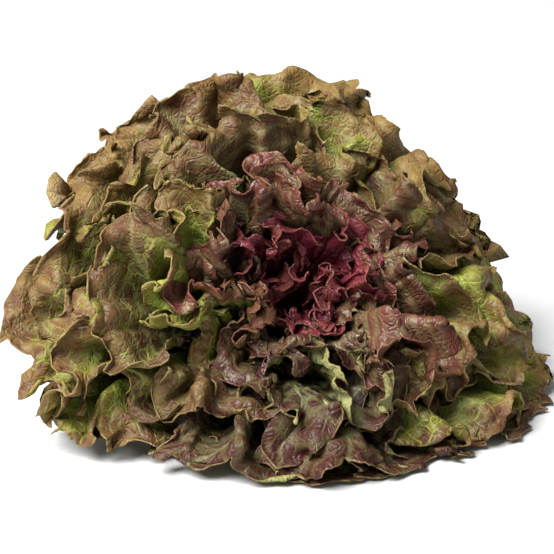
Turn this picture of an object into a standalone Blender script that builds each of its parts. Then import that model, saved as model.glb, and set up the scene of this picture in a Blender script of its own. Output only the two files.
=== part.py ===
"""A head of red leaf lettuce, cut at the stem and lying on its side.

The pieces are the cut stem and its loose leaves. The heart faces forward (-Y) and a little up,
the cut end of the stem faces back (+Y), and the outer leaves lie on the table at z = 0.

Every leaf is a blade on one spiral sheet that winds outwards from the heart, so no two leaves
touch: leaf number n stands n golden angles round the stem, and the sheet's turns keep apart.
The model is laid out round the hub, which is the centre of the stem's cut face.
Units are metres and, where a name says so, degrees.
"""

import math

import bpy
import numpy as np

# The head as a whole
LEAF_COUNT = 52
LEAF_REACH = 0.176  # from the hub to the tip of a full-grown leaf
HEART_REACH = 0.098  # from the hub to the tip of the youngest leaf
HEAD_SPREAD_DEG = 72.0  # between the stem's axis and the tip of the outermost leaf
HEART_LEAN = 0.016  # how far the heart grew aside from the stem's axis
HEART_LEAN_DEG = 40.0  # which way it leans, from the right-hand side towards the top
AXIS_TILT_DEG = 43.0  # how far the heart points up from the table
AXIS_TURN_DEG = 20.0  # how far the heart points to the right

# The stem
STEM_RADIUS = 0.016
STEM_LENGTH = 0.050
CUT_BEVEL = 0.0012
SKIN_INSET = 0.0003  # the stem's side inside its full radius, so that the rim stands out
STEM_CLEARANCE = 0.0008  # between the stem and each leaf
BARE_STUMP = 0.007  # stem below the lowest leaf
GROWING_TIP = 0.007  # stem above the highest leaf

# One leaf
BLADE_THICKNESS = 0.0010
RIB_THICKNESS = 0.0020  # at the foot of the midrib
OUTER_HALF_WIDTH = 0.080
HEART_HALF_WIDTH = 0.022
FOOT_SHARE = 0.16  # the foot's width as a share of the blade's
WIDEST_HALF_ANGLE_DEG = 64.0  # under half a golden angle, so that one sheet holds every leaf
FOOT_HALF_ANGLE_DEG = 25.0
GRID_STEP = 2.15  # the widest step of a blade's grid, in gaps between layers

# How the head lies
TABLE_SETTLE = 0.024  # leaves lower than this are pressed flat on the table
RIM_HEIGHT = 0.0018  # the lowest place of the stem's cut rim, above the table
LOWER_SQUEEZE = 0.15  # how much the lower leaves are pushed up towards the stem's axis
DROOP = 0.028  # how far a leaf hangs down at DROOP_DISTANCE from the hub
DROOP_DISTANCE = 0.150

# Folds, which run through all the leaves alike, as they grew against each other
FOLD_SEED = 11
FOLD_WAVES = 30
FOLDS_PER_RADIAN = 25.0
FOLD_SPREAD = 0.35
FOLD_TURN = 0.27
FOLD_START, FOLD_FULL = 0.045, 0.150  # distances from the hub
FOLD_STEPS = 6

GOLDEN_ANGLE = math.radians(137.50776)
NEXT_LEAF_ABOVE = 360 / 137.50776  # leaves between one layer of the sheet and the next
SPROUT_LAYER = 1.5  # leaf widths of sheet inside the first leaf
LAST_LAYER = 1.06
GROWTH_SEED = 5

# The reach of the leaves by their place round the stem, from the right-hand side, as shares
REACH_BY_ANGLE = [
    (0, 0.95), (17, 0.98), (41, 0.97), (58, 0.99), (75, 1.02), (92, 1.02), (115, 0.98),
    (130, 0.95), (145, 1.03), (158, 1.02), (168, 0.99), (190, 0.94), (205, 0.85),
    (215, 0.80), (240, 0.87), (270, 0.97), (300, 0.97), (325, 0.99), (345, 0.97),
]  # fmt: skip

# Each zone of the head: its name, the number of its last leaf, and its colour
ZONES = [
    ("heart_leaf", 10, (0.13, 0.010, 0.022)),
    ("inner_leaf", 22, (0.16, 0.035, 0.028)),
    ("middle_leaf", 37, (0.18, 0.105, 0.040)),
    ("outer_leaf", LEAF_COUNT, (0.21, 0.170, 0.060)),
]
STEM_COLOUR = (0.62, 0.60, 0.38)


def smooth_step(start, end, value):
    """0 before start, 1 after end, and an even S-curve between them."""
    share = np.clip((value - start) / (end - start), 0, 1)
    return share * share * (3 - 2 * share)


def head_axes():
    """The stem's axis towards the heart, and the two directions across it: right, and up."""
    tilt, turn = math.radians(AXIS_TILT_DEG), math.radians(AXIS_TURN_DEG)
    heartward = np.array(
        [math.sin(turn) * math.cos(tilt), -math.cos(turn) * math.cos(tilt), math.sin(tilt)]
    )
    right = np.array([math.cos(turn), math.sin(turn), 0.0])
    return heartward, right, np.cross(heartward, right)


def stem_radius_at(height):
    """The stem's radius at a height above its cut face: a dome that narrows to the growing tip."""
    return STEM_RADIUS * np.sqrt(np.clip(1 - (height / (STEM_LENGTH + 0.001)) ** 2, 0.02, 1))


def leaf_profile(layer, along):
    """Distance from the axis, and height along it, of a leaf's midrib.

    layer is 0 at the heart and 1 outside. along is 0 at the foot and 1 at the tip.
    """
    foot_height = BARE_STUMP + (STEM_LENGTH - BARE_STUMP - GROWING_TIP) * (1 - layer)
    foot_gap = STEM_CLEARANCE + RIB_THICKNESS / 2
    foot = np.stack([stem_radius_at(foot_height) + foot_gap, foot_height])
    leaving = np.radians(6 + 64 * layer)
    tip_angle = np.radians(4 + (HEAD_SPREAD_DEG - 4) * layer**0.9)
    reach = HEART_REACH + (LEAF_REACH - HEART_REACH) * np.sin(
        math.pi / 2 * np.clip(layer / 0.8, 0, 1)
    )
    tip = np.stack([np.sin(tip_angle), np.cos(tip_angle)]) * reach
    curl = tip_angle + np.radians(14 + 46 * layer)
    chord = np.linalg.norm(tip - foot, axis=0)
    low = foot + np.stack([np.sin(leaving), np.cos(leaving)]) * 0.36 * chord
    high = tip - np.stack([np.sin(curl), np.cos(curl)]) * 0.30 * chord
    rest = 1 - along
    path = (
        rest**3 * foot
        + 3 * rest**2 * along * low
        + 3 * rest * along**2 * high
        + along**3 * tip
    )
    return path[0], path[1]


def reach_share(angle):
    """REACH_BY_ANGLE at an angle in radians, all the way round."""
    degrees, shares = np.array(REACH_BY_ANGLE, float).T
    around = np.concatenate([degrees - 360, degrees, degrees + 360])
    return np.interp(np.degrees(angle) % 360, around, np.tile(shares, 3))


def on_the_sheet(angle, along, layer):
    """Points of the spiral sheet, from the hub, before the leaves fold and droop."""
    from_axis, height = leaf_profile(layer, along)
    reach = np.hypot(from_axis, height)
    opening = np.arctan2(from_axis, height)
    free = smooth_step(1.4 * STEM_RADIUS, 4.7 * STEM_RADIUS, reach)
    underneath = smooth_step(0.30, 1.0, -np.sin(angle))
    opening = opening * (1 - LOWER_SQUEEZE * underneath * free)
    reach = reach * (1 + (reach_share(angle) - 1) * free)
    heartward, right, up = head_axes()
    side = right * np.cos(angle)[..., None] + up * np.sin(angle)[..., None]
    lean = math.radians(HEART_LEAN_DEG)
    aside = right * math.cos(lean) + up * math.sin(lean)
    pull = HEART_LEAN * smooth_step(STEM_LENGTH, 2 * STEM_LENGTH, reach)
    pull = pull * (1 - smooth_step(0, math.radians(50), opening))
    return (
        heartward * (reach * np.cos(opening))[..., None]
        + side * (reach * np.sin(opening))[..., None]
        + aside * pull[..., None]
    )


def fold(points):
    """Swirls the points on spheres round the hub, so that sheets fold and never cross."""
    random = np.random.default_rng(FOLD_SEED)
    waves = random.normal(size=(FOLD_WAVES, 3))
    waves /= np.linalg.norm(waves, axis=1)[:, None]
    pitch = FOLDS_PER_RADIAN * (1 + FOLD_SPREAD * random.uniform(-1, 1, FOLD_WAVES))
    waves *= pitch[:, None]
    phase = random.uniform(0, 2 * math.pi, FOLD_WAVES)
    drift = random.normal(size=FOLD_WAVES) * 2.0 / 0.158
    reach = np.linalg.norm(points, axis=-1)
    facing = points / reach[..., None]
    step = FOLD_TURN * 2 * math.sqrt(2 / FOLD_WAVES) / FOLD_STEPS
    step = step * smooth_step(FOLD_START, FOLD_FULL, reach)
    for _ in range(FOLD_STEPS):
        slope = np.zeros_like(facing)
        for wave, size, shift, lag in zip(waves, 1 / pitch**2, phase, drift):
            slope -= (size * np.sin(facing @ wave + lag * reach + shift))[..., None] * wave
        facing = facing + np.cross(facing, slope) * step[..., None]
        facing /= np.linalg.norm(facing, axis=-1)[..., None]
    return facing * reach[..., None]


def rest_on_table(points):
    """Lets the points droop with distance, and presses what would be too low on the table."""
    settled = points.copy()
    away = np.hypot(points[..., 0], np.maximum(points[..., 1], 0))
    settled[..., 2] -= DROOP * np.clip(away / DROOP_DISTANCE, 0, 1.2) ** 2
    height = settled[..., 2] + RIM_HEIGHT + STEM_RADIUS * math.cos(math.radians(AXIS_TILT_DEG))
    low = np.minimum(height, TABLE_SETTLE) - TABLE_SETTLE
    lift = TABLE_SETTLE * np.exp(low / TABLE_SETTLE) - TABLE_SETTLE - low
    off_the_stem = smooth_step(STEM_RADIUS, 2 * STEM_RADIUS, np.linalg.norm(points, axis=-1))
    settled[..., 2] += lift * off_the_stem
    return settled


def blade_grid():
    """Columns and rows of a blade's grid: enough that its flat faces stay within a layer."""
    layer_gap = LEAF_REACH * math.radians(HEAD_SPREAD_DEG) * NEXT_LEAF_ABOVE / LEAF_COUNT
    step = GRID_STEP * layer_gap
    return math.ceil(2 * OUTER_HALF_WIDTH / step), math.ceil(LEAF_REACH / step)


def leaf_points(number, vigour, lean, columns, rows):
    """The blade of one leaf as rows of points from its foot to its tip, from the hub."""
    across = np.linspace(-1, 1, columns + 1)[None, :]
    upward = np.linspace(0, 1, rows + 1)[:, None]
    along = upward * (1 - 0.30 * np.abs(across) ** 2.6)
    own_layer = (number + SPROUT_LAYER) / (LEAF_COUNT + SPROUT_LAYER)
    widest = HEART_HALF_WIDTH + (OUTER_HALF_WIDTH - HEART_HALF_WIDTH) * own_layer**0.7
    width = widest * (FOOT_SHARE + (1 - FOOT_SHARE) * smooth_step(0.05, 0.72, along) ** 0.9)
    from_axis, _ = leaf_profile(np.full_like(along, own_layer), along)
    foot_angle, blade_angle = (
        math.radians(FOOT_HALF_ANGLE_DEG),
        math.radians(WIDEST_HALF_ANGLE_DEG),
    )
    most = foot_angle + (blade_angle - foot_angle) * smooth_step(0.05, 0.30, along)
    half_angle = np.minimum(width / np.maximum(from_axis, STEM_RADIUS / 2), most)
    angle = number * GOLDEN_ANGLE + across * half_angle
    layer = (angle / GOLDEN_ANGLE + SPROUT_LAYER) / (LEAF_COUNT + SPROUT_LAYER)
    layer = np.clip(layer, 0, LAST_LAYER) + lean / LEAF_COUNT * along**2
    points = on_the_sheet(angle, along * vigour, layer)
    return rest_on_table(fold(points))


def material(name, colour, roughness):
    """A plain Principled material."""
    made = bpy.data.materials.new(name)
    made.use_nodes = True
    shader = made.node_tree.nodes["Principled BSDF"]
    shader.inputs["Base Color"].default_value = (*colour, 1)
    shader.inputs["Roughness"].default_value = roughness
    shader.inputs["Metallic"].default_value = 0
    return made


def put_in(obj, collection, parent):
    """Moves the object to the collection, and hangs it on the parent."""
    for old in list(obj.users_collection):
        old.objects.unlink(obj)
    collection.objects.link(obj)
    obj.parent = parent


def make_stem(collection, hub):
    """The cut stem: a turned dome with a softened rim round its flat cut face."""
    heights = np.linspace(STEM_LENGTH, CUT_BEVEL, 12)
    profile = [(0.0, STEM_LENGTH)]
    profile += [(float(stem_radius_at(h)) - SKIN_INSET, float(h)) for h in heights[1:]]
    profile += [(STEM_RADIUS - CUT_BEVEL, 0.0), (0.0, 0.0)]
    mesh = bpy.data.meshes.new("stem")
    mesh.from_pydata([(x, 0, z) for x, z in profile], [(i, i + 1) for i in range(len(profile) - 1)], [])
    stem = bpy.data.objects.new("stem", mesh)
    put_in(stem, collection, hub)
    turned = stem.modifiers.new("turned", "SCREW")
    turned.steps = turned.render_steps = 20
    turned.use_merge_vertices = True
    turned.merge_threshold = 0.00005
    heartward, _, _ = head_axes()
    pitch = math.acos(heartward[2])
    stem.rotation_euler = (0, pitch, math.atan2(heartward[1], heartward[0]))
    mesh.materials.append(material("stem", STEM_COLOUR, 0.55))


def make_leaf(name, points, surface, collection, hub):
    """One leaf: a grid laid along the blade, then thickened, most at the foot of the midrib."""
    rows, columns = points.shape[0] - 1, points.shape[1] - 1
    bpy.ops.mesh.primitive_grid_add(x_subdivisions=columns, y_subdivisions=rows, size=1)
    leaf = bpy.context.object
    leaf.name = leaf.data.name = name
    leaf.data.vertices.foreach_set("co", points.astype(np.float32).ravel())
    leaf.data.update()
    put_in(leaf, collection, hub)
    rib = leaf.vertex_groups.new(name="rib")
    least = BLADE_THICKNESS / RIB_THICKNESS
    for index in range((rows + 1) * (columns + 1)):
        row, column = divmod(index, columns + 1)
        aside = abs(column / columns * 2 - 1)
        weight = least + (1 - least) * max(0.0, 1 - 2.4 * row / rows) * max(0.0, 1 - 1.5 * aside)
        rib.add([index], weight, "REPLACE")
    shell = leaf.modifiers.new("thickness", "SOLIDIFY")
    shell.thickness = RIB_THICKNESS
    shell.offset = 0
    shell.vertex_group = rib.name
    leaf.data.materials.append(surface)


def stand_at_origin(hub, collection):
    """Moves the hub so that the head's box is centred on the origin, with its base at z = 0."""
    bpy.context.view_layer.update()
    graph = bpy.context.evaluated_depsgraph_get()
    corners = []
    for obj in collection.objects:
        if obj.type != "MESH":
            continue
        shown = obj.evaluated_get(graph)
        mesh = shown.to_mesh()
        place = np.array(shown.matrix_world)
        points = np.empty(len(mesh.vertices) * 3, np.float32)
        mesh.vertices.foreach_get("co", points)
        points = points.reshape(-1, 3) @ place[:3, :3].T + place[:3, 3]
        corners += [points.min(axis=0), points.max(axis=0)]
        shown.to_mesh_clear()
    low, high = np.min(corners, axis=0), np.max(corners, axis=0)
    middle = (low + high) / 2
    hub.location = (-middle[0], -middle[1], -low[2])
    bpy.context.view_layer.update()


def main():
    for obj in list(bpy.data.objects):
        bpy.data.objects.remove(obj)
    collection = bpy.data.collections.new("lettuce_head")
    bpy.context.scene.collection.children.link(collection)
    hub = bpy.data.objects.new("hub", None)
    collection.objects.link(hub)
    make_stem(collection, hub)
    random = np.random.default_rng(GROWTH_SEED)
    first = 0
    for zone, last, colour in ZONES:
        surface = material(zone, colour, 0.5)
        for number in range(first, last):
            vigour, lean = random.uniform(0.88, 1.05), random.uniform(-0.2, 0.2)
            points = leaf_points(number, vigour, lean, *blade_grid())
            make_leaf(f"{zone}_{number - first + 1:02d}", points, surface, collection, hub)
        first = last
    stand_at_origin(hub, collection)


main()
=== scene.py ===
"""The looks of a head of red leaf lettuce: leaves, cut stem, and the table and light round it.

Every leaf follows the rule that the head grew by. Leaf number n stands n golden angles round the
stem, on one spiral sheet that winds outwards from the heart, and the whole sheet is folded by
smooth swirls round the hub, the centre of the stem's cut face. A Geometry Nodes tree then gives
each blade its blisters, crumples and frilled margin. Units are metres and radians.
"""

import math
from functools import reduce

import bpy
import numpy as np
from bpy.props import FloatProperty, FloatVectorProperty, IntProperty, PointerProperty
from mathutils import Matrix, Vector


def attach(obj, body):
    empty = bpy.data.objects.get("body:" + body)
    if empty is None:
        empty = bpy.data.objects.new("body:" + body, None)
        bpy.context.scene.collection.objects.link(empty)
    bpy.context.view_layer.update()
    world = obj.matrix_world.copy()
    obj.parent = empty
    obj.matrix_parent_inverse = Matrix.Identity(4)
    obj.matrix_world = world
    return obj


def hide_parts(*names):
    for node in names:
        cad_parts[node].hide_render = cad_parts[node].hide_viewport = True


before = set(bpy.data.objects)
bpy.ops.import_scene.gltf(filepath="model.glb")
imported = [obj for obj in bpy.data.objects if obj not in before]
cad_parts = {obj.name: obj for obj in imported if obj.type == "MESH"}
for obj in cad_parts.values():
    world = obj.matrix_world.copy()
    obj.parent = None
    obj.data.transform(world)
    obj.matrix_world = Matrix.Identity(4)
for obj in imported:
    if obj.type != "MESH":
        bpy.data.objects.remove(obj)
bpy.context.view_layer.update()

bl_info = {
    "name": "Lettuce head",
    "version": (1, 0, 0),
    "blender": (4, 5, 0),
    "location": "View3D > Sidebar > Lettuce",
    "description": "Grows the leaves and the cut stem of a head of red leaf lettuce",
    "category": "Add Mesh",
}

GOLDEN_ANGLE = math.radians(137.50776)
SPROUT_LAYER = 1.5  # leaf widths of sheet inside the first leaf
LAST_LAYER = 1.06  # how far past the sheet's end the last leaf may run
GROWTH_SEED = 5

CUT_HOLLOW = 0.0008  # how deep the stem's cut is hollowed in its middle
CUT_FLATNESS = 0.0001  # the cut face's points lie within this of the lowest
FOOT_MARGIN = 0.007  # from the stem's ends to the first and the last leaf's foot
FOOT_GAP = 0.0018  # from the stem to the middle of a blade's foot
HUB_CLEARANCE = 0.0018  # the hub's height above where the stem's rim would touch
YOUNG_TIP_ANGLE = np.radians(4)  # of the youngest leaf's tip from the axis
DRIFT_REACH = 0.158  # outwards, over which a fold's waves drift by about two radians
DROOP, DROOP_REACH = 0.028, 0.150
PRESS_HEIGHT = 0.024  # below this, leaves are pressed on the table
LEAST_CLEARANCE = 0.0012  # of a blade's middle above the table

PATTERN_STEP = np.array([0.37, 0.61, 0.83])  # from one leaf's pattern to the next one's
MIDRIB_FULL_AT = 0.08  # half the width of a leaf whose midrib is full-grown

TABLE_SIZE, TABLE_GAP = 12, 0.0003
KEY_PLACE, KEY_SIZE = (-2.3, -1.7, 3.8), 3.0

# The reach of the leaves by their place round the stem, from the right-hand side, as shares
REACH_BY_ANGLE = [
    (0, 0.95), (17, 0.98), (41, 0.97), (58, 0.99), (75, 1.02), (92, 1.02), (115, 0.98),
    (130, 0.95), (145, 1.03), (158, 1.02), (168, 0.99), (190, 0.94), (205, 0.85),
    (215, 0.80), (240, 0.87), (270, 0.97), (300, 0.97), (325, 0.99), (345, 0.97),
]

ZONES = ["heart_leaf", "inner_leaf", "middle_leaf", "outer_leaf"]
RED_ZONES = ZONES[:2]
MASKS = ("along", "margin", "rib", "sun", "dark")  # what a blade tells its material

# What changes in the looks from zone to zone. The blush is the red that the sun brings out.
ZONE_VALUES = {
    "start": (-0.35, 0.08, 0.44, 0.56),  # how far out the blush starts
    "softness": (0.20, 0.34, 0.40, 0.44),  # of the blush's start
    "patches": (0.15, 0.35, 0.60, 0.60),  # how patchy the blush is
    "net": (0.2, 0.4, 0.7, 0.8),  # how much of the veins it leaves green
    "deep_to": (0.84, 0.88, 0.94, 0.92),  # how far out the painted shade deep in the head reaches
}


# --- Helpers ---


def linked_object(name, data):
    """A new object with the data, linked to the scene."""
    made = bpy.data.objects.new(name, data)
    bpy.context.scene.collection.objects.link(made)
    return made


def mesh_points(mesh):
    """The vertices of a mesh, as rows of a table."""
    points = np.empty((len(mesh.vertices), 3), np.float32)
    mesh.vertices.foreach_get("co", points.ravel())
    return points


def give_values(mesh, values):
    """Gives each vertex of a mesh its named values."""
    for key, value in values.items():
        layer = mesh.attributes.new(key, "FLOAT", "POINT")
        layer.data.foreach_set("value", value.astype(np.float32).ravel())


def smooth_step(start, end, value):
    """0 before start, 1 after end, and an even S-curve between them."""
    share = np.clip((value - start) / (end - start), 0, 1)
    return share * share * (3 - 2 * share)


# --- The growth rule ---


def head_axes(head):
    """The stem's axis towards the heart, and the two directions across it: right, and up."""
    tilt, turn = head.axis_tilt, head.axis_turn
    heartward = np.array(
        [math.sin(turn) * math.cos(tilt), -math.cos(turn) * math.cos(tilt), math.sin(tilt)]
    )
    right = np.array([math.cos(turn), math.sin(turn), 0.0])
    return heartward, right, np.cross(heartward, right)


def hub_point(head):
    """The centre of the stem's cut face, which is the hub that every leaf is laid out from."""
    points = mesh_points(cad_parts["stem"].data).astype(float)
    heartward = head_axes(head)[0]
    height = points @ heartward
    low = points[height < height.min() + CUT_FLATNESS]
    return low.mean(axis=0)


def stem_radius_at(head, height):
    """The stem's radius at a height above its cut face: a dome that narrows to the growing tip."""
    share = height / (head.stem_length + 0.001)
    return head.stem_radius * np.sqrt(np.clip(1 - share**2, 0.02, 1))


def leaf_profile(head, layer, along):
    """Distance from the axis, and height along it, of a leaf's midrib.

    It is a cubic curve. Young leaves stand upright and nearly straight. Older ones leave the
    stem flatter and curl outwards at the tip.
    """
    foot_height = FOOT_MARGIN + (head.stem_length - 2 * FOOT_MARGIN) * (1 - layer)
    foot = np.stack([stem_radius_at(head, foot_height) + FOOT_GAP, foot_height])
    leaving = np.radians(6 + 64 * layer)
    tip_angle = YOUNG_TIP_ANGLE + (head.spread - YOUNG_TIP_ANGLE) * layer**0.9
    reach = head.heart_reach + (head.leaf_reach - head.heart_reach) * np.sin(
        math.pi / 2 * np.clip(layer / 0.8, 0, 1)
    )
    tip = np.stack([np.sin(tip_angle), np.cos(tip_angle)]) * reach
    curl = tip_angle + np.radians(14 + 46 * layer)
    chord = np.linalg.norm(tip - foot, axis=0)
    low = foot + np.stack([np.sin(leaving), np.cos(leaving)]) * 0.36 * chord
    high = tip - np.stack([np.sin(curl), np.cos(curl)]) * 0.30 * chord
    rest = 1 - along
    path = (
        rest**3 * foot
        + 3 * rest**2 * along * low
        + 3 * rest * along**2 * high
        + along**3 * tip
    )
    return path[0], path[1]


def reach_share(angle):
    """REACH_BY_ANGLE at an angle in radians, all the way round."""
    degrees, shares = np.array(REACH_BY_ANGLE, float).T
    around = np.concatenate([degrees - 360, degrees, degrees + 360])
    return np.interp(np.degrees(angle) % 360, around, np.tile(shares, 3))


def on_the_sheet(head, angle, along, layer):
    """Points of the spiral sheet, from the hub, before the leaves fold and droop."""
    from_axis, height = leaf_profile(head, layer, along)
    reach = np.hypot(from_axis, height)
    opening = np.arctan2(from_axis, height)
    free = smooth_step(1.4 * head.stem_radius, 4.7 * head.stem_radius, reach)
    underneath = smooth_step(0.30, 1.0, -np.sin(angle))
    opening = opening * (1 - 0.15 * underneath * free)
    reach = reach * (1 + (reach_share(angle) - 1) * free)
    heartward, right, up = head_axes(head)
    side = right * np.cos(angle)[..., None] + up * np.sin(angle)[..., None]
    aside = right * math.cos(head.lean_side) + up * math.sin(head.lean_side)
    pull = head.heart_lean * smooth_step(head.stem_length, 2 * head.stem_length, reach)
    pull = pull * (1 - smooth_step(0, math.radians(50), opening))
    return (
        heartward * (reach * np.cos(opening))[..., None]
        + side * (reach * np.sin(opening))[..., None]
        + aside * pull[..., None]
    )


class Swirl:
    """Waves that turn points on spheres round the hub, so that sheets fold and never cross."""

    def __init__(self, seed, waves, per_radian, spread, turn, start, full, steps):
        random = np.random.default_rng(seed)
        self.waves = random.normal(size=(waves, 3))
        self.waves /= np.linalg.norm(self.waves, axis=1)[:, None]
        self.pitch = per_radian * (1 + spread * random.uniform(-1, 1, waves))
        self.waves *= self.pitch[:, None]
        self.phase = random.uniform(0, 2 * math.pi, waves)
        self.drift = random.normal(size=waves) * 2.0 / DRIFT_REACH
        self.step = turn * 2 * math.sqrt(2 / waves) / steps
        self.start, self.full, self.steps = start, full, steps

    def fold(self, points, where):
        """where gives, for directions from the hub, the share of the turn that is kept there."""
        reach = np.linalg.norm(points, axis=-1)
        facing = points / reach[..., None]
        step = self.step * smooth_step(self.start, self.full, reach)
        for _ in range(self.steps):
            slope = np.zeros_like(facing)
            for wave, size, shift, lag in zip(
                self.waves, 1 / self.pitch**2, self.phase, self.drift
            ):
                turned = facing @ wave + lag * reach + shift
                slope -= (size * np.sin(turned))[..., None] * wave
            facing = facing + np.cross(facing, slope) * (step * where(facing))[..., None]
            facing /= np.linalg.norm(facing, axis=-1)[..., None]
        return facing * reach[..., None]


def press_lift(height, softness):
    """How far points are lifted, so that heights below the softness never fall below 0."""
    low = np.minimum(height, softness) - softness
    return softness * np.exp(low / softness) - softness - low


def rest_on_table(head, points):
    """Lets the points droop with distance, and presses what would be too low on the table."""
    settled = points.copy()
    away = np.hypot(points[..., 0], np.maximum(points[..., 1], 0))
    settled[..., 2] -= DROOP * np.clip(away / DROOP_REACH, 0, 1.2) ** 2
    height = settled[..., 2] + HUB_CLEARANCE + head.stem_radius * math.cos(head.axis_tilt)
    lift = press_lift(height, PRESS_HEIGHT)
    off_the_stem = smooth_step(
        head.stem_radius, 2 * head.stem_radius, np.linalg.norm(points, axis=-1)
    )
    settled[..., 2] += lift * off_the_stem
    return settled


# --- One leaf ---


def wavy(random, turns, size):
    """A function that gives the waves of a wandering line, about size high, along an edge."""
    pitches = np.array(turns) * random.uniform(0.8, 1.2, len(turns))
    phases = random.uniform(0, 2 * math.pi, len(turns))

    def line(place):
        waves = sum(np.sin(place * pitch + phase) for pitch, phase in zip(pitches, phases))
        return waves * size / math.sqrt(len(turns))

    return line


def unit(vectors):
    """The vectors at length 1."""
    return vectors / np.maximum(np.linalg.norm(vectors, axis=-1), 1e-9)[..., None]


class Leaf:
    """The blade of one leaf as a grid of points, with what its material needs to know."""

    def __init__(self, head, number, count, vigour, lean, folds):
        random = np.random.default_rng((GROWTH_SEED, number))
        self.head, self.number, self.count, self.folds = head, number, count, folds
        self.vigour, self.lean = vigour * random.uniform(0.90, 1.07), lean
        self.own_layer = (number + SPROUT_LAYER) / (count + SPROUT_LAYER)
        self.widest = head.heart_half_width + self.own_layer**0.7 * (
            head.outer_half_width - head.heart_half_width
        )
        self.lobes = wavy(random, (3.5, 6, 9), 0.50)
        self.teeth = wavy(random, (31, 47, 71), 0.005)
        self.side = wavy(random, (14, 25, 41), 0.030)
        own_seed = 1000 + number
        self.own_fold = Swirl(own_seed, 16, 34.0, 0.35, head.own_turn, 0.050, 0.130, 4)
        self.grown = self.widest / head.outer_half_width
        curl_length = head.curl_length * (0.2 + 0.8 * self.grown)
        self.curls = Ripple(random, 14, 2 * math.pi / curl_length)
        self.own_sun = random.uniform(-1, 1)
        share = self.own_layer**0.8
        columns, rows = int(95 + 125 * share), int(34 + 28 * share)
        across = self.even_columns(columns)
        upward = np.linspace(0, 1, rows + 1)[:, None] ** 0.66 * np.ones((1, columns + 1))
        self.lay_out(across * np.ones_like(upward), upward)
        self.curl_margin()
        self.mark_colours()
        self.points = rest_on_table(head, self.points)
        self.mark_ribs(random)

    def even_columns(self, columns):
        """Places across the blade for its columns: closer together where folds stretch it."""
        across, upward = np.linspace(-1, 1, 121)[None, :], np.linspace(0.3, 1, 12)[:, None]
        self.lay_out(across * np.ones_like(upward), upward * np.ones_like(across))
        steps = np.linalg.norm(np.diff(self.points, axis=1), axis=-1).mean(axis=0)
        covered = np.concatenate([[0], np.cumsum(0.75 * steps + 0.25 * steps.mean())])
        return np.interp(np.linspace(0, covered[-1], columns + 1), covered, across[0])[None, :]

    def lay_out(self, across, upward):
        """Lays the blade's points on the folded sheet, before its margin curls."""
        head = self.head
        rounded = 0.085 * (np.abs(np.sin(2 * self.lobes(across) + 5 * across)) ** 0.7 - 0.75)
        outline = rounded * (1 - across**6) + self.teeth(across)
        drop = 0.25 * across**2 + 0.45 * across**6
        along = upward * (1 - drop + outline * upward**2)
        width = self.widest * (0.16 + 0.84 * smooth_step(0.05, 0.72, along) ** 0.9)
        width = width * (1 + self.side(along) * upward)
        from_axis, _ = leaf_profile(head, np.full_like(along, self.own_layer), along)
        foot_angle, blade_angle = math.radians(25), math.radians(64)  # the most to each side
        most = foot_angle + (blade_angle - foot_angle) * smooth_step(0.05, 0.30, along)
        half_angle = np.minimum(width / np.maximum(from_axis, head.stem_radius / 2), most)
        angle = self.number * GOLDEN_ANGLE + across * half_angle
        layer = (angle / GOLDEN_ANGLE + SPROUT_LAYER) / (self.count + SPROUT_LAYER)
        layer = np.clip(layer, 0, LAST_LAYER) + self.lean / self.count * along**2
        points = on_the_sheet(head, angle, along * self.vigour, layer)
        for swirl, where in self.folds:
            points = swirl.fold(points, where)
        self.points = self.own_fold.fold(points, lambda facing: 1.0)
        self.along, self.upward, self.across = along, upward, across
        self.half_width = np.minimum(width, from_axis * most)

    def curl_margin(self):
        """Rolls the margin over, here to the upper side and there to the lower."""
        length = np.linalg.norm(np.diff(self.points, axis=0), axis=-1).mean(axis=1).sum()
        self.flat = np.stack([self.across * self.half_width, self.along * length], axis=-1)
        to_tip = (1 - self.upward) * length
        to_side = (1 - np.abs(self.across)) * self.half_width
        corner = 0.001 * np.exp(-np.abs(to_tip - to_side) / 0.004)
        self.edge = np.minimum(to_tip, to_side) + corner
        up_way = unit(np.gradient(self.points, axis=0))
        side_way = unit(np.gradient(self.points, axis=1))
        normal = unit(np.cross(up_way, side_way))
        fade = 0.006  # in from an edge, over which it stops setting the way outwards
        outward = unit(
            up_way * np.exp(-to_tip / fade)[..., None]
            + side_way * (np.sign(self.across) * np.exp(-to_side / fade))[..., None]
        )
        near = smooth_step(self.head.curl_width * (0.30 + 0.70 * self.grown), 0, self.edge)
        near = near * smooth_step(0.15, 0.40, self.along)
        height = self.head.curl_height
        roll = (self.curls(self.points) - 0.35) * height * (0.35 + 0.65 * self.grown)
        self.points = (
            self.points
            + normal * (roll * near**1.8)[..., None]
            - outward * (0.55 * np.abs(roll) * near**3)[..., None]
        )

    def mark_colours(self):
        """How much each point blushes, and how much painted shade darkens it, by its place on the
        head.
        """
        heartward, right, up = head_axes(self.head)
        facing = unit(self.points)
        above = smooth_step(0.1, 0.8, facing @ up)
        below = smooth_step(0.05, 0.75, -facing @ up)
        flank = smooth_step(0.35, 0.85, np.abs(facing @ right - 0.1)) * (1 - below)
        # More blush towards the bottom and the top, less on the flanks, plus a random share for
        # each leaf.
        self.sun = self.own_sun + 1.6 * below - 0.5 * flank + 0.6 * above
        inner = smooth_step(0.72, 0.96, facing @ heartward)
        # Painted shade: darker towards the bottom and deep in the heart, lighter on the top and
        # the flanks, plus a random tone for each leaf.
        self.dark = 2.0 * below + 0.7 * inner + 0.8 * self.own_sun - 0.3 * flank - 0.4 * above

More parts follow.
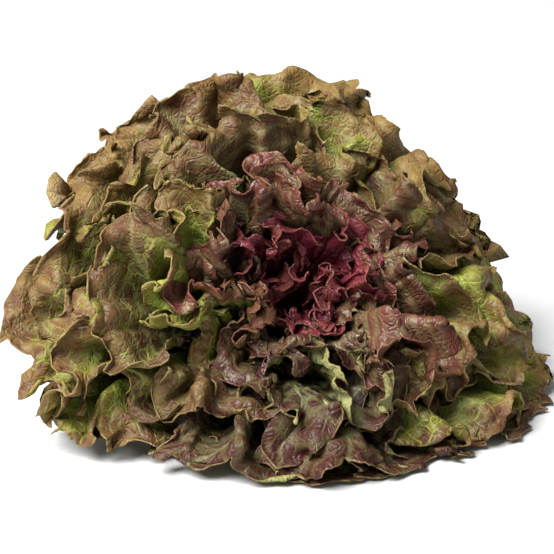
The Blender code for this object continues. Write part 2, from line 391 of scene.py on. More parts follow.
    def mark_ribs(self, random):
        """How much of each point is rib, and the share of the full thickness there."""
        length = self.flat[..., 1].max()
        aside, up = np.abs(self.flat[..., 0]), self.flat[..., 1] / length
        size = (self.widest / MIDRIB_FULL_AT) ** 0.5
        midrib_width = 0.0042 * (1 - up) ** 1.3 * size + 0.0007
        midrib = np.exp(-((aside / midrib_width) ** 2))
        sides, side_width = np.zeros_like(aside), 0.0012
        for side in (-1, 1):
            for start in np.arange(0.14, 0.86, 0.085) + random.uniform(-0.02, 0.02):
                reach = np.maximum(self.flat[..., 0] * side, 0)
                path = start * length + reach * 0.95 - reach**2 * 2.2
                off = np.abs(self.flat[..., 1] - path) * 0.72  # square to the slanting rib
                fade = np.clip(1 - reach / (0.95 * self.widest), 0, 1)
                sides = np.maximum(sides, np.exp(-((off / side_width) ** 2)) * fade**0.7)
        self.rib = np.maximum(midrib, 0.55 * sides * (self.flat[..., 0] != 0))
        self.swell = np.maximum(midrib * (1 - 0.75 * up), 0.16 * sides)
        self.margin = np.exp(-self.edge / 0.011) * smooth_step(0.10, 0.30, self.along)


class Ripple:
    """A smooth random value in space, mostly between -1 and 1."""

    def __init__(self, random, waves, pitch):
        directions = random.normal(size=(waves, 3))
        self.waves = unit(directions) * pitch * random.uniform(0.7, 1.3, waves)[:, None]
        self.phases = random.uniform(0, 2 * math.pi, waves)

    def __call__(self, points):
        total = sum(np.sin(points @ wave + phase) for wave, phase in zip(self.waves, self.phases))
        return total * math.sqrt(2 / len(self.phases)) * 0.8


# --- Nodes ---


def add_node(tree, kind, inputs=(), **settings):
    """Adds a node, makes its settings, and links or fills its inputs."""
    made = tree.nodes.new(kind)
    for name, value in settings.items():
        setattr(made, name, value)
    for key, value in dict(inputs).items():
        if isinstance(value, bpy.types.NodeSocket):
            tree.links.new(value, made.inputs[key])
        else:
            made.inputs[key].default_value = value
    return made


def math_of(tree, operation, first, second):
    """The result of one Math node."""
    return add_node(tree, "ShaderNodeMath", {0: first, 1: second}, operation=operation).outputs[0]


def vector_of(tree, operation, first, second):
    """The result of one Vector Math node. To scale, the second is the factor."""
    second_key = "Scale" if operation == "SCALE" else 1
    made = add_node(
        tree, "ShaderNodeVectorMath", {0: first, second_key: second}, operation=operation
    )
    return made.outputs[0]


def sum_of(tree, *values):
    """The sum of the values, by Math nodes."""
    return reduce(lambda total, value: math_of(tree, "ADD", total, value), values)


def product_of(tree, *values):
    """The product of the values, by Math nodes."""
    return reduce(lambda total, value: math_of(tree, "MULTIPLY", total, value), values)


def smooth_range(tree, value, low, high, to_low=0.0, to_high=1.0):
    """The value mapped by an S-curve from low..high to to_low..to_high."""
    return add_node(
        tree,
        "ShaderNodeMapRange",
        {"Value": value, "From Min": low, "From Max": high, "To Min": to_low, "To Max": to_high},
        interpolation_type="SMOOTHSTEP",
    ).outputs["Result"]


def noise_of(tree, where, scale, detail, roughness=0.5):
    """The value of a Noise texture."""
    inputs = {"Vector": where, "Scale": scale, "Detail": detail, "Roughness": roughness}
    return add_node(tree, "ShaderNodeTexNoise", inputs).outputs[0]


def edge_distance(tree, where, scale):
    """The distance to the nearest edge of Voronoi cells."""
    return add_node(
        tree,
        "ShaderNodeTexVoronoi",
        {"Vector": where, "Scale": scale},
        feature="DISTANCE_TO_EDGE",
    ).outputs["Distance"]


def vein_coordinates(tree, blade):
    """The coordinates of a blade's pattern, gently warped, so that no two cells are alike."""
    warp = add_node(
        tree, "ShaderNodeTexNoise", {"Vector": blade, "Scale": 70.0, "Detail": 1.0}
    ).outputs["Color"]
    centred = vector_of(tree, "SUBTRACT", warp, (0.5, 0.5, 0.5))
    return vector_of(tree, "ADD", blade, vector_of(tree, "SCALE", centred, 0.009))


def group_inputs(tree, sockets):
    """Gives a node group its inputs, as name, kind and default, and returns them."""
    for name, kind, default in sockets:
        made = tree.interface.new_socket(name, in_out="INPUT", socket_type="NodeSocket" + kind)
        if default is not None:
            made.default_value = default
    return tree.nodes.new("NodeGroupInput").outputs


def relief_tree():
    """Geometry Nodes that raise a blade's blisters and crumples, and frill its margin."""
    tree = bpy.data.node_groups.new("leaf_relief", "GeometryNodeTree")
    given = group_inputs(
        tree,
        [
            ("Geometry", "Geometry", None),
            ("Blister Size", "Float", 0.010),
            ("Blister Height", "Float", 0.0012),
            ("Crumple Size", "Float", 0.004),
            ("Crumple Height", "Float", 0.0005),
            ("Frill Size", "Float", 0.010),
            ("Frill Height", "Float", 0.004),
            ("Material", "Material", None),
        ],
    )
    tree.interface.new_socket("Geometry", in_out="OUTPUT", socket_type="NodeSocketGeometry")
    field = {}
    for name, kind in (("blade", "FLOAT_VECTOR"), ("margin", "FLOAT"), ("rib", "FLOAT")):
        field[name] = add_node(
            tree, "GeometryNodeInputNamedAttribute", {"Name": name}, data_type=kind
        ).outputs["Attribute"]

    def centred_noise(size, detail):
        scale = math_of(tree, "DIVIDE", 1.0, given[size])
        return math_of(tree, "SUBTRACT", noise_of(tree, field["blade"], scale, detail), 0.5)

    cells = edge_distance(
        tree,
        vein_coordinates(tree, field["blade"]),
        math_of(tree, "DIVIDE", 1.0, given["Blister Size"]),
    )
    off_rib = math_of(tree, "SUBTRACT", 1.0, field["rib"])
    dome = smooth_range(tree, cells, 0.0, 0.42)
    blister = product_of(tree, dome, given["Blister Height"], off_rib)
    crumple = product_of(tree, centred_noise("Crumple Size", 2.0), given["Crumple Height"], 2.0)
    frill = centred_noise("Frill Size", 1.0)
    frill = product_of(tree, frill, given["Frill Height"], field["margin"], 2.0)
    height = sum_of(tree, blister, crumple, frill)
    normal = add_node(tree, "GeometryNodeInputNormal").outputs[0]
    offset = vector_of(tree, "SCALE", normal, height)
    shape = given["Geometry"]
    for kind, inputs in (
        ("GeometryNodeSetPosition", {"Offset": offset}),
        ("GeometryNodeRealizeInstances", {}),
        ("GeometryNodeSetMaterial", {"Material": given["Material"]}),
    ):
        shape = add_node(tree, kind, {"Geometry": shape, **inputs}).outputs[0]
    add_node(tree, "NodeGroupOutput", {"Geometry": shape})
    return tree


def set_input(modifier, name, value):
    """Sets an input of a Geometry Nodes modifier by its socket's identifier."""
    for item in modifier.node_group.interface.items_tree:
        if item.item_type == "SOCKET" and item.in_out == "INPUT" and item.name == name:
            modifier[item.identifier] = value
            return
    raise KeyError(name)


def sheet_mesh(name, leaf):
    """An open mesh of the leaf's upper side, with its masks and the place of its pattern."""
    rows, columns = leaf.points.shape[:2]
    index = np.arange(rows * columns).reshape(rows, columns)
    corners = [index[:-1, :-1], index[1:, :-1], index[1:, 1:], index[:-1, 1:]]
    quads = np.stack(corners, axis=-1).reshape(-1, 4)
    mesh = bpy.data.meshes.new(name)
    mesh.vertices.add(rows * columns)
    mesh.vertices.foreach_set("co", leaf.points.astype(np.float32).ravel())
    mesh.loops.add(quads.size)
    mesh.loops.foreach_set("vertex_index", quads.astype(np.int32).ravel())
    mesh.polygons.add(len(quads))
    mesh.polygons.foreach_set("loop_start", np.arange(0, quads.size, 4, dtype=np.int32))
    mesh.update(calc_edges=True)
    mesh.validate()
    give_values(mesh, {key: getattr(leaf, key) for key in MASKS})
    layer = mesh.attributes.new("blade", "FLOAT_VECTOR", "POINT")
    own_place = leaf.points + PATTERN_STEP * leaf.number
    layer.data.foreach_set("vector", own_place.astype(np.float32).ravel())
    return mesh


def press_on_table(mesh, softness):
    """Moves what would be in the table just above it."""
    points = mesh_points(mesh)
    points[:, 2] += press_lift(points[:, 2] - LEAST_CLEARANCE, softness)
    mesh.vertices.foreach_set("co", points.ravel())
    mesh.update()


def make_leaf(name, leaf, sizes, tree, upper, under):
    """The finished leaf: relief by Geometry Nodes, made a plain mesh, then thickened."""
    draft = linked_object(name + "_draft", sheet_mesh(name, leaf))
    relief = draft.modifiers.new("relief", "NODES")
    relief.node_group = tree
    young = min(1.0, leaf.widest / sizes.full_half_width)
    for key, value in (
        ("Blister Size", sizes.blister_size * (0.5 + 0.5 * young)),
        ("Blister Height", sizes.blister_height * young),
        ("Crumple Size", sizes.crumple_size),
        ("Crumple Height", sizes.crumple_height),
        ("Frill Size", sizes.frill_size * (0.35 + 0.65 * young)),
        ("Frill Height", sizes.frill_height * (1.3 - 0.3 * young)),
        ("Material", upper),
    ):
        set_input(relief, key, value)
    bpy.context.view_layer.update()
    graph = bpy.context.evaluated_depsgraph_get()
    finished = bpy.data.meshes.new_from_object(draft.evaluated_get(graph))
    finished.name = name
    bpy.data.objects.remove(draft)
    press_on_table(finished, sizes.rib_thickness)
    obj = linked_object(name, finished)
    finished.materials.clear()
    finished.materials.append(upper)
    finished.materials.append(under)
    finished.shade_smooth()
    thick = obj.vertex_groups.new(name="thick")
    least = sizes.blade_thickness / sizes.rib_thickness
    for vertex, weight in enumerate((least + (1 - least) * leaf.swell).ravel()):
        thick.add([vertex], float(weight), "REPLACE")
    shell = obj.modifiers.new("thickness", "SOLIDIFY")
    shell.thickness = sizes.rib_thickness
    shell.offset = -1
    shell.vertex_group = thick.name
    shell.material_offset = 1
    shell.material_offset_rim = 0
    return obj


# --- Materials ---


def shader_group(name, inputs, outputs):
    """A shader node group with its inputs and its outputs of numbers, ready for its nodes."""
    tree = bpy.data.node_groups.new(name, "ShaderNodeTree")
    given = group_inputs(tree, inputs)
    for label in outputs:
        tree.interface.new_socket(label, in_out="OUTPUT", socket_type="NodeSocketFloat")
    return tree, given, tree.nodes.new("NodeGroupOutput").inputs


def vein_group():
    """The net of veins between the blisters, coarse and fine, and the swelling between them."""
    tree, given, out = shader_group(
        "leaf_veins",
        [("Blade", "Vector", None), ("Cell Size", "Float", 0.010)],
        ("Veins", "Height"),
    )
    where = vein_coordinates(tree, given["Blade"])
    scale = math_of(tree, "DIVIDE", 1.0, given["Cell Size"])
    main_cells, fine_cells = (
        edge_distance(tree, where, product_of(tree, scale, finer)) for finer in (1.0, 3.1)
    )
    main = smooth_range(tree, main_cells, 0.0, 0.075, 1.0, 0.0)
    fine = smooth_range(tree, fine_cells, 0.0, 0.11, 1.0, 0.0)
    tree.links.new(sum_of(tree, main, product_of(tree, fine, 0.40)), out["Veins"])
    swelling = smooth_range(tree, fine_cells, 0.0, 0.35)
    tree.links.new(sum_of(tree, swelling, product_of(tree, main, -0.8)), out["Height"])
    return tree


def blush_group():
    """Where sun turned the blade red: strongest at the margin and tip, and in patches."""
    tree, given, out = shader_group(
        "leaf_blush",
        [
            ("Blade", "Vector", None),
            ("Along", "Float", 0.5),
            ("Margin", "Float", 0.0),
            ("Sun", "Float", 0.0),
            ("Start", "Float", 0.5),
            ("Softness", "Float", 0.25),
            ("Patches", "Float", 0.5),
        ],
        ("Blush", "Speckle"),
    )
    broad, small, speckle = (
        noise_of(tree, given["Blade"], scale, detail, 0.6)
        for scale, detail in ((22.0, 2.0), (90.0, 3.0), (420.0, 2.0))
    )
    uneven = sum_of(tree, product_of(tree, broad, 2.2), product_of(tree, small, 1.0), -1.60)
    reached = sum_of(
        tree,
        given["Along"],
        product_of(tree, given["Margin"], 0.25),
        product_of(tree, given["Sun"], 0.34),
        product_of(tree, uneven, given["Patches"]),
        product_of(tree, speckle, 0.10),
    )
    end = sum_of(tree, given["Start"], given["Softness"])
    inputs = {"Value": reached, "From Min": given["Start"], "From Max": end}
    share = add_node(tree, "ShaderNodeMapRange", inputs).outputs["Result"]
    tree.links.new(share, out["Blush"])
    tree.links.new(small, out["Speckle"])
    return tree


def mix_colour(tree, share, first, second, blend="MIX"):
    """The result of a Mix node for colours."""
    made = add_node(
        tree, "ShaderNodeMix", data_type="RGBA", blend_type=blend, clamp_factor=True
    )
    for key, value in ((0, share), (6, first), (7, second)):
        socket = made.inputs[key]
        if isinstance(value, bpy.types.NodeSocket):
            tree.links.new(value, socket)
        else:
            socket.default_value = value if isinstance(value, float) else (*value, 1.0)
    return made.outputs[2]


def bump_of(tree, height, strength):
    """The normals of a Bump node."""
    inputs = {"Height": height, "Strength": strength, "Distance": 0.0008}
    return add_node(tree, "ShaderNodeBump", inputs).outputs[0]


def attribute(tree, name, output="Fac"):
    """The output of an Attribute node."""
    return add_node(tree, "ShaderNodeAttribute", attribute_name=name).outputs[output]


def new_material(name):
    """A material with its tree emptied, and its output node."""
    made = bpy.data.materials.new(name)
    made.use_nodes = True
    made.node_tree.nodes.clear()
    return made, made.node_tree, made.node_tree.nodes.new("ShaderNodeOutputMaterial")


def leaf_material(name, look, groups, is_under):
    """A leaf's skin: green below, red where the sun reached, with paler ribs and veins, painted
    shade deep in the head and a painted highlight along the rim.
    """
    made, tree, output = new_material(name)
    blade = attribute(tree, "blade", "Vector")
    along, margin, rib, sun, dark = (attribute(tree, key) for key in MASKS)
    veins = add_node(tree, "ShaderNodeGroup", node_tree=groups["veins"])
    tree.links.new(blade, veins.inputs["Blade"])
    veins.inputs["Cell Size"].default_value = look["cell_size"]
    blush = add_node(tree, "ShaderNodeGroup", node_tree=groups["blush"])
    netted = sum_of(tree, sun, product_of(tree, veins.outputs["Veins"], -look["net"]))
    for key, value in (("Blade", blade), ("Along", along), ("Margin", margin), ("Sun", netted)):
        tree.links.new(value, blush.inputs[key])
    for key in ("Start", "Softness", "Patches"):
        blush.inputs[key].default_value = look[key.lower()]
    mottle = noise_of(tree, blade, 45.0, 3.0)
    green = mix_colour(tree, smooth_range(tree, mottle, 0.35, 0.65), look["green"], look["lime"])
    # Bronze turns to maroon by a random speckle and, through dark, by painted shade.
    speckle_and_shade = sum_of(tree, blush.outputs["Speckle"], product_of(tree, dark, 0.30))
    darkest = smooth_range(tree, speckle_and_shade, 0.25, 0.85)
    red = mix_colour(tree, darkest, look["bronze"], look["maroon"])
    half = smooth_range(tree, blush.outputs["Blush"], 0.0, 0.5)
    full = smooth_range(tree, blush.outputs["Blush"], 0.5, 1.0)
    skin = mix_colour(tree, full, mix_colour(tree, half, green, look["olive"]), red)
    # Painted shade: the upper side darkens to near black deep in the head and towards the bottom.
    # On the underside the same mix paints the pale base.
    deep = product_of(
        tree,
        smooth_range(tree, along, look["deep_from"], look["deep_to"], look["deep_share"], 0.0),
        smooth_range(tree, dark, -0.35, 0.30, look["deep_least"], 1.0),
    )
    deep = sum_of(tree, deep, smooth_range(tree, dark, 1.1, 2.1, 0.0, 0.50))
    skin = mix_colour(tree, deep, skin, look["deep"])
    vein_share = product_of(tree, veins.outputs["Veins"], look["vein_share"])
    skin = mix_colour(tree, vein_share, skin, look["vein"])
    rib_share = product_of(tree, rib, smooth_range(tree, along, 0.1, 1.0, 0.95, 0.25))
    skin = mix_colour(tree, rib_share, skin, look["rib"])
    # Painted highlight: a pale line along the very edge, where light catches the rim.
    lip = smooth_range(tree, margin, 0.93, 0.985, 0.0, look["lip_share"])
    skin = mix_colour(tree, lip, skin, look["lip"])
    grain = noise_of(tree, blade, 260.0, 2.0)
    height = sum_of(
        tree,
        product_of(tree, veins.outputs["Height"], -0.6 if is_under else 0.6),
        product_of(tree, grain, 0.25),
    )
    bump = bump_of(tree, height, 0.75)
    inputs = {
        "Base Color": skin,
        "Roughness": smooth_range(tree, grain, 0.3, 0.7, look["rough"], look["rough"] + 0.16),
        "Normal": bump,
        "Specular IOR Level": look["shine"],
    }
    surface = add_node(tree, "ShaderNodeBsdfPrincipled", inputs)
    inputs = {"Color": mix_colour(tree, 1.0, skin, look["glow"], "MULTIPLY"), "Normal": bump}
    glow = add_node(tree, "ShaderNodeBsdfTranslucent", inputs)
    inputs = {0: look["thin"], 1: surface.outputs[0], 2: glow.outputs[0]}
    both = add_node(tree, "ShaderNodeMixShader", inputs)
    tree.links.new(both.outputs[0], output.inputs["Surface"])
    return made


def zone_look(zone, colours):
    """The colours and finish of a zone's leaves, from the heart outwards."""
    place = ZONES.index(zone)
    share = place / (len(ZONES) - 1)
    keys = ("green", "lime", "olive", "bronze", "maroon", "vein", "rib", "lip", "deep")
    look = {key: tuple(getattr(colours, key)) for key in keys}
    look.update({key: values[place] for key, values in ZONE_VALUES.items()})
    look.update(
        glow=(1.0, 0.92, 0.55),
        cell_size=0.010,
        vein_share=0.10 + 0.08 * share,
        lip_share=0.42,
        rough=0.30 + 0.10 * share,
        shine=0.27,
        thin=0.22,
        # The deep values set where painted shade darkens the upper side.
        deep_from=0.42,
        deep_share=0.92,
        deep_least=0.50,
    )
    if zone == "heart_leaf":
        look["bronze"], look["maroon"] = tuple(colours.heart), tuple(colours.heart_dark)
        look["vein"] = look["rib"] = tuple(colours.heart)
    if zone == "inner_leaf":
        look["bronze"] = look["vein"] = tuple(colours.russet)
    if zone == "middle_leaf":
        look["bronze"] = tuple(np.array(colours.bronze) * 0.75)
    if zone in RED_ZONES:
        look["shine"] = 0.42
        # Red leaves get a redder painted highlight on the rim.
        look["lip"], look["lip_share"] = tuple(colours.heart_rim_highlight), 0.35
    return look


def under_look(zone, look, colours):
    """The underside of a zone's leaves: duller and greener, with prouder veins."""
    grey = np.array(colours.underside)
    dull = {"green": 0.3, "lime": 0.3, "olive": 0.5, "bronze": 0.55, "maroon": 0.20}
    if zone in RED_ZONES:
        dull.update(olive=0.3, bronze=0.12, maroon=0.08)
    under = dict(look)
    for key, share in dull.items():
        under[key] = tuple(np.array(look[key]) * (1 - share) + grey * share)
    under["vein_share"] = look["vein_share"] + 0.12
    under["rough"] = look["rough"] + 0.14
    under["shine"] = 0.22
    under["start"] = look["start"] + 0.22
    # On the underside the deep mix paints the pale green base, not shade.
    under["deep"], under["deep_from"], under["deep_to"] = look["rib"], 0.1, 0.5
    under["deep_share"], under["deep_least"] = 0.6, 0.6
    return under


# --- The stem ---


def stem_mesh(head):
    """The stump and its dome as a turned, slightly fluted solid with a gently hollowed cut."""
    steps, side = 96, np.linspace(CUT_HOLLOW, head.stem_length - 0.0006, 44)
    cut = np.array([(0.10, 0.0008), (0.35, 0.0007), (0.60, 0.0004), (0.80, 0.0001), (0.93, 0.0)])
    radii = np.concatenate([cut[:, 0] * head.stem_radius, stem_radius_at(head, side) - 0.0003])
    heights = np.concatenate([cut[:, 1], side])
    turn, height = np.linspace(0, 2 * math.pi, steps, endpoint=False), heights[:, None]
    flute = 0.968 + 0.022 * np.sin(5 * turn + 90 * height)
    flute = flute + 0.010 * np.sin(13 * turn - 60 * height)
    flute[radii <= 0.5 * head.stem_radius] = 1.0
    radius = radii[:, None] * flute
    points = np.stack([radius * np.cos(turn), radius * np.sin(turn), height + 0 * turn], axis=-1)
    heartward, right, up = head_axes(head)
    hub = hub_point(head)
    points = points.reshape(-1, 3) @ np.stack([right, up, heartward]) + hub
    ends = np.stack([hub + heartward * CUT_HOLLOW, hub + heartward * head.stem_length])
    low, high = len(points), len(points) + 1
    faces = []
    for step in range(steps):
        after = (step + 1) % steps
        for here in range(0, low - steps, steps):
            there = here + steps
            faces.append((here + step, here + after, there + after, there + step))
        faces.append((low, after, step))
        faces.append((high, low - steps + step, low - steps + after))
    mesh = bpy.data.meshes.new("stem_skin")
    mesh.from_pydata(np.concatenate([points, ends]).tolist(), [], faces)
    mesh.update()
    radius = np.append(np.repeat(radii, steps), [0.0, 0.0]) / head.stem_radius
    height = np.append(np.repeat(heights, steps), [CUT_HOLLOW, head.stem_length])
    give_values(mesh, {"radius": radius, "height": height})
    mesh.shade_smooth()
    return mesh


def stem_material(colours):
    """Pale flesh with a rust-brown cut rim, a ring of sap vessels, and streaks up the side."""
    made, tree, output = new_material("stem_flesh")
    radius, height = attribute(tree, "radius"), attribute(tree, "height")
    place = add_node(tree, "ShaderNodeTexCoord").outputs["Object"]
    noise, grain = (noise_of(tree, place, scale, 4.0) for scale in (240.0, 1400.0))
    on_cut = smooth_range(tree, height, CUT_HOLLOW, 0.0014, 1.0, 0.0)
    wobble = sum_of(tree, radius, product_of(tree, noise, 0.16), -0.08)
    ring = product_of(
        tree,
        smooth_range(tree, wobble, 0.55, 0.66),
        smooth_range(tree, wobble, 0.70, 0.82, 1.0, 0.0),
    )
    browned = product_of(tree, smooth_range(tree, wobble, 0.80, 0.98), on_cut)
    streaks, sap = smooth_range(tree, noise, 0.3, 0.7), tuple(colours.sap)
    flesh = mix_colour(tree, streaks, tuple(colours.stem), tuple(colours.rib))
    flesh = mix_colour(tree, product_of(tree, ring, on_cut, 0.6), flesh, sap)
    flesh = mix_colour(tree, product_of(tree, browned, 0.8), flesh, sap)
    height = sum_of(tree, product_of(tree, noise, 0.7), product_of(tree, grain, 0.3))
    inputs = {
        "Base Color": flesh,
        "Roughness": smooth_range(tree, grain, 0.3, 0.7, 0.38, 0.62),
        "Normal": bump_of(tree, height, 0.6),
    }
    surface = add_node(tree, "ShaderNodeBsdfPrincipled", inputs)
    tree.links.new(surface.outputs[0], output.inputs["Surface"])
    return made


# --- The add-on ---


def size_property(name, description, default):
    """A length that a user would change."""
    return FloatProperty(
        name=name, description=description, default=default, unit="LENGTH", precision=4
    )


def angle_property(name, description, degrees):
    """An angle that a user would change."""
    return FloatProperty(
        name=name, description=description, default=math.radians(degrees), subtype="ANGLE"
    )


def strength_property(name, description, default):
    """A plain number that a user would change."""
    return FloatProperty(name=name, description=description, default=default)


def colour_property(name, description, default):
    """A colour that a user would change."""
    return FloatVectorProperty(
        name=name, description=description, default=default, subtype="COLOR", size=3, min=0, max=1
    )


class HeadSettings(bpy.types.PropertyGroup):
    """The shape of the whole head."""

    leaf_reach: size_property("Leaf reach", "From the hub to a full-grown leaf's tip", 0.176)
    heart_reach: size_property("Heart reach", "From the hub to the youngest leaf's tip", 0.098)
    outer_half_width: size_property("Outer half width", "Half the widest outer leaf", 0.080)
    heart_half_width: size_property("Heart half width", "Half the youngest leaf", 0.022)
    stem_radius: size_property("Stem radius", "The stem at its cut face", 0.016)
    stem_length: size_property("Stem length", "From the cut face to the growing tip", 0.050)
    spread: angle_property("Spread", "From the stem's axis to the outermost leaf's tip", 72)
    axis_tilt: angle_property("Axis tilt", "How far the heart points up from the table", 43)
    axis_turn: angle_property("Axis turn", "How far the heart points to the right", 20)
    heart_lean: size_property("Heart lean", "How far the heart grew aside", 0.016)
    lean_side: angle_property("Lean side", "Where the heart leans, from the right upwards", 40)
    fold_turn: strength_property("Fold turn", "Strength of the broad folds", 1.62)
    frill_turn: strength_property("Frill turn", "Strength of the tight folds", 0.27)
    heart_turn: strength_property("Heart turn", "Strength of the heart's folds", 0.9)
    own_turn: strength_property("Own turn", "Strength of each leaf's own folds", 0.62)
    curl_length: size_property("Curl length", "Along the margin, from curl to curl", 0.036)
    curl_width: size_property("Curl width", "How far in from the edge a leaf curls", 0.024)
    curl_height: size_property("Curl height", "How far a curled edge rises", 0.0074)
    fold_seed: IntProperty(
        name="Fold seed", description="Another seed folds the head anew", default=11
    )


class LeafSettings(bpy.types.PropertyGroup):
    """The thickness and relief of one blade."""

    full_half_width: size_property("Full half width", "Of a leaf with relief at full size", 0.065)
    blade_thickness: size_property("Blade thickness", "Between the ribs", 0.0006)
    rib_thickness: size_property("Rib thickness", "At the foot of the midrib", 0.0034)
    blister_size: size_property("Blister size", "Across one blister", 0.0085)
    blister_height: size_property("Blister height", "How far a blister bulges", 0.0013)
    crumple_size: size_property("Crumple size", "Across the finest creases", 0.0045)
    crumple_height: size_property("Crumple height", "How deep the finest creases are", 0.0004)
    frill_size: size_property("Frill size", "Across one frill of the margin", 0.010)
    frill_height: size_property("Frill height", "How far the margin waves", 0.0022)


class ColourSettings(bpy.types.PropertyGroup):
    """The colours of the leaves and the stem."""

    green: colour_property("Green", "Blade out of the sun", (0.175, 0.225, 0.020))
    lime: colour_property("Lime", "Youngest green", (0.335, 0.385, 0.060))
    bronze: colour_property("Bronze", "Sunned blade", (0.222, 0.130, 0.040))
    olive: colour_property("Olive", "Blade half sunned", (0.185, 0.170, 0.024))
    maroon: colour_property("Maroon", "Reddest blade", (0.080, 0.022, 0.013))
    heart: colour_property("Heart", "Heart leaves", (0.215, 0.031, 0.040))
    heart_dark: colour_property("Heart dark", "Darkest heart leaves", (0.096, 0.012, 0.022))
    russet: colour_property("Russet", "Leaves round the heart", (0.140, 0.039, 0.025))
    # Painted highlight on the rim of a red leaf.
    heart_rim_highlight: colour_property("Heart lip", "The edge of a red leaf", (0.250, 0.100, 0.060))
    vein: colour_property("Vein", "Fine veins", (0.215, 0.210, 0.055))
    rib: colour_property("Rib", "Midrib and side ribs", (0.400, 0.460, 0.180))
    # Painted highlight on the very edge of the blade.
    lip: colour_property("Lip", "The very edge of the blade", (0.360, 0.260, 0.110))
    # Painted shade: near black on the upper side down in the head.
    deep: colour_property("Deep", "Upper side down in the head", (0.026, 0.005, 0.010))
    underside: colour_property("Underside", "What dulls a leaf's back", (0.250, 0.200, 0.038))
    stem: colour_property("Stem", "Flesh of the stem", (0.600, 0.580, 0.340))
    sap: colour_property("Sap", "Dried sap on the cut", (0.260, 0.110, 0.040))


class StageSettings(bpy.types.PropertyGroup):
    """The table, the light and the camera."""

    floor: colour_property("Floor", "The table", (0.52, 0.52, 0.52))
    camera_height: angle_property("Camera elevation", "How far the camera looks down", 20)
    camera_distance: size_property("Camera distance", "From the camera to its target", 1.1)
    view_width: size_property("View width", "What the camera sees across, at its target", 0.311)
    target_height: size_property("Target height", "Of the camera's target above the table", 0.077)
    target_aside: size_property("Target aside", "Of the camera's target to the right", -0.0070)
    world_light: strength_property("World light", "Light from all round", 0.35)
    key_light: FloatProperty(
        name="Key light", description="Light from the upper left", default=730.0, unit="POWER"
    )


class LettuceSettings(bpy.types.PropertyGroup):
    """All the settings of the lettuce head."""

    head: PointerProperty(type=HeadSettings)
    leaf: PointerProperty(type=LeafSettings)
    colours: PointerProperty(type=ColourSettings)
    stage: PointerProperty(type=StageSettings)


def zone_of(node):
    """The zone that a leaf's node belongs to."""
    return node.rsplit("_", 1)[0]


def leaf_nodes():
    """The leaves' nodes from the heart outwards."""
    names = [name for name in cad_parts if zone_of(name) in ZONES]
    return sorted(names, key=lambda name: (ZONES.index(zone_of(name)), name))


def head_folds(head):
    """The folds that run through all leaves, each with where on the head it is strong."""
    heartward, right, up = head_axes(head)
    broad = up * 0.75 - right * 0.95 + heartward * 0.10
    broad /= np.linalg.norm(broad)

    def loose(facing):
        """Weaker to the upper left, where the outer leaves lie broad and open."""
        near = np.exp(-((np.arccos(np.clip(facing @ broad, -1, 1)) / math.radians(20)) ** 2))
        return (1 - 0.45 * near) * (0.8 + 0.2 * smooth_step(0.10, 0.55, facing @ heartward))

    def heart(facing):
        return smooth_step(0.80, 0.95, facing @ heartward)

    folds = (  # waves, their pitch and its spread, turn, reach at the start and at full, steps
        (30, 25.0, 0.35, head.fold_turn, 0.045, 0.150, 10, loose),
        (26, 58.0, 0.30, head.frill_turn, 0.080, 0.160, 5, loose),
        (26, 85.0, 0.35, head.heart_turn, 0.040, 0.090, 6, heart),
    )
    return [
        (Swirl(head.fold_seed + place, *shape), where)
        for place, (*shape, where) in enumerate(folds)
    ]


def shared_groups():
    """The node groups that every leaf uses, made once."""
    made = {}
    for key, name, build in (
        ("veins", "leaf_veins", vein_group),
        ("blush", "leaf_blush", blush_group),
        ("relief", "leaf_relief", relief_tree),
    ):
        made[key] = bpy.data.node_groups.get(name) or build()
    return made


class GrowsLeaves:
    """Grows the leaves of one zone of the head, each in place of its CAD node."""

    bl_options = {"REGISTER", "UNDO"}
    zone = ""

    def execute(self, context):
        settings = context.scene.lettuce
        head, colours = settings.head, settings.colours
        groups, nodes = shared_groups(), leaf_nodes()
        look = zone_look(self.zone, colours)
        upper = leaf_material(self.zone + "_upper", look, groups, False)
        look = under_look(self.zone, look, colours)
        under = leaf_material(self.zone + "_under", look, groups, True)
        hub, folds = hub_point(head), head_folds(head)
        random = np.random.default_rng(GROWTH_SEED)
        for number, node in enumerate(nodes):
            vigour, lean = random.uniform(0.88, 1.05), random.uniform(-0.2, 0.2)
            if zone_of(node) != self.zone:
                continue
            leaf = Leaf(head, number, len(nodes), vigour, lean, folds)
            leaf.points = leaf.points + hub
            piece = make_leaf(node + "_blade", leaf, settings.leaf, groups["relief"], upper, under)
            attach(piece, "root")
            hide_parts(node)
        return {"FINISHED"}


class LETTUCE_OT_heart_leaves(GrowsLeaves, bpy.types.Operator):
    """Grow the small dark leaves of the heart"""

    bl_idname = "lettuce.heart_leaves"
    bl_label = "Heart leaves"
    zone = "heart_leaf"


class LETTUCE_OT_inner_leaves(GrowsLeaves, bpy.types.Operator):
    """Grow the red leaves round the heart"""

    bl_idname = "lettuce.inner_leaves"
    bl_label = "Inner leaves"
    zone = "inner_leaf"


class LETTUCE_OT_middle_leaves(GrowsLeaves, bpy.types.Operator):
    """Grow the bronze and green leaves of the middle"""

    bl_idname = "lettuce.middle_leaves"
    bl_label = "Middle leaves"
    zone = "middle_leaf"


class LETTUCE_OT_outer_leaves(GrowsLeaves, bpy.types.Operator):
    """Grow the broad outer leaves that the head lies on"""

    bl_idname = "lettuce.outer_leaves"
    bl_label = "Outer leaves"
    zone = "outer_leaf"


class LETTUCE_OT_stem(bpy.types.Operator):
    """Turn the stem, with its cut face"""

    bl_idname = "lettuce.stem"
    bl_label = "Stem"
    bl_options = {"REGISTER", "UNDO"}

    def execute(self, context):
        settings = context.scene.lettuce
        mesh = stem_mesh(settings.head)
        mesh.materials.append(stem_material(settings.colours))
        piece = linked_object("stem_flesh", mesh)
        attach(piece, "root")
        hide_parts("stem")
        return {"FINISHED"}


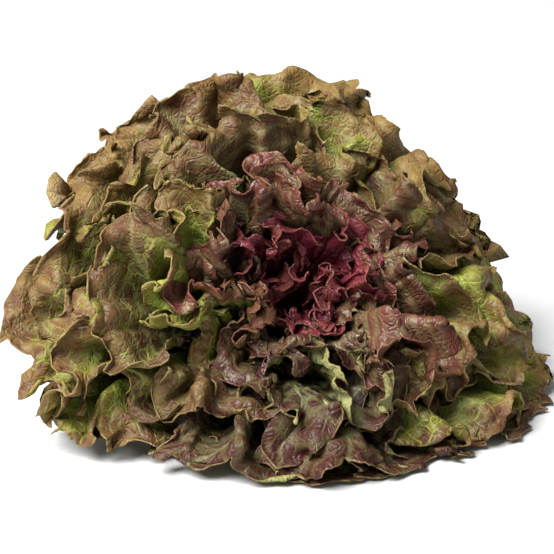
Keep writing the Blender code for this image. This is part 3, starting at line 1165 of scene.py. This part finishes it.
def floor_material(colour):
    """A smooth, faintly clouded white table."""
    made, tree, output = new_material("table_white")
    place = add_node(tree, "ShaderNodeTexCoord").outputs["Object"]
    cloud = product_of(tree, noise_of(tree, place, 3.0, 2.0), 0.04)
    tint = mix_colour(tree, cloud, tuple(colour), (0.6, 0.6, 0.6))
    inputs = {"Base Color": tint, "Roughness": 0.65, "Specular IOR Level": 0.2}
    surface = add_node(tree, "ShaderNodeBsdfPrincipled", inputs)
    tree.links.new(surface.outputs[0], output.inputs["Surface"])
    return made


def area_light(name, place, target, size, power):
    """A square soft light that points at the target."""
    lamp = bpy.data.lights.new(name, "AREA")
    lamp.shape = "SQUARE"
    lamp.size = size
    lamp.energy = power
    obj = linked_object(name, lamp)
    obj.location = place
    obj.rotation_euler = (target - obj.location).to_track_quat("-Z", "Y").to_euler()


class LETTUCE_OT_stage(bpy.types.Operator):
    """Lay the table, and set the light and the camera"""

    bl_idname = "lettuce.stage"
    bl_label = "Stage"
    bl_options = {"REGISTER", "UNDO"}

    def execute(self, context):
        stage = context.scene.lettuce.stage
        bpy.ops.mesh.primitive_plane_add(size=TABLE_SIZE, location=(0, 0, -TABLE_GAP))
        floor = context.object
        floor.name = "table"
        floor.data.materials.append(floor_material(stage.floor))
        world = bpy.data.worlds.new("studio")
        world.use_nodes = True
        backdrop = world.node_tree.nodes["Background"]
        backdrop.inputs["Color"].default_value = (1, 1, 1, 1)
        backdrop.inputs["Strength"].default_value = stage.world_light
        context.scene.world = world
        target = Vector((stage.target_aside, 0, stage.target_height))
        area_light("key", KEY_PLACE, target, KEY_SIZE, stage.key_light)
        lens = bpy.data.cameras.new("camera")
        lens.sensor_width = 36  # millimetres
        lens.lens = lens.sensor_width * stage.camera_distance / stage.view_width
        camera = linked_object("camera", lens)
        back = Vector((0, -math.cos(stage.camera_height), math.sin(stage.camera_height)))
        camera.location = target + back * stage.camera_distance
        camera.rotation_euler = (-back).to_track_quat("-Z", "Y").to_euler()
        context.scene.camera = camera
        context.scene.view_settings.view_transform = "Standard"
        return {"FINISHED"}


class LETTUCE_PT_panel(bpy.types.Panel):
    """Lists the makers of the lettuce head, and its settings"""

    bl_idname = "LETTUCE_PT_panel"
    bl_label = "Lettuce head"
    bl_space_type = "VIEW_3D"
    bl_region_type = "UI"
    bl_category = "Lettuce"

    def draw(self, context):
        for maker in MAKERS:
            self.layout.operator(maker.bl_idname)
        settings = context.scene.lettuce
        for part in (settings.head, settings.leaf, settings.colours, settings.stage):
            box = self.layout.box()
            for key in part.bl_rna.properties.keys():
                if key not in ("rna_type", "name"):
                    box.prop(part, key)


MAKERS = (
    LETTUCE_OT_heart_leaves,
    LETTUCE_OT_inner_leaves,
    LETTUCE_OT_middle_leaves,
    LETTUCE_OT_outer_leaves,
    LETTUCE_OT_stem,
    LETTUCE_OT_stage,
)
SETTINGS = (HeadSettings, LeafSettings, ColourSettings, StageSettings, LettuceSettings)
CLASSES = SETTINGS + MAKERS + (LETTUCE_PT_panel,)


def register():
    for cls in CLASSES:
        bpy.utils.register_class(cls)
    bpy.types.Scene.lettuce = PointerProperty(type=LettuceSettings)


def unregister():
    del bpy.types.Scene.lettuce
    for cls in reversed(CLASSES):
        bpy.utils.unregister_class(cls)


def write_sizes():
    """Updates the view layer."""
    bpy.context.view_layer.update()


def main():
    register()
    for maker in MAKERS:
        area, name = maker.bl_idname.split(".")
        getattr(getattr(bpy.ops, area), name)()
    write_sizes()


if __name__ == "__main__":
    main()
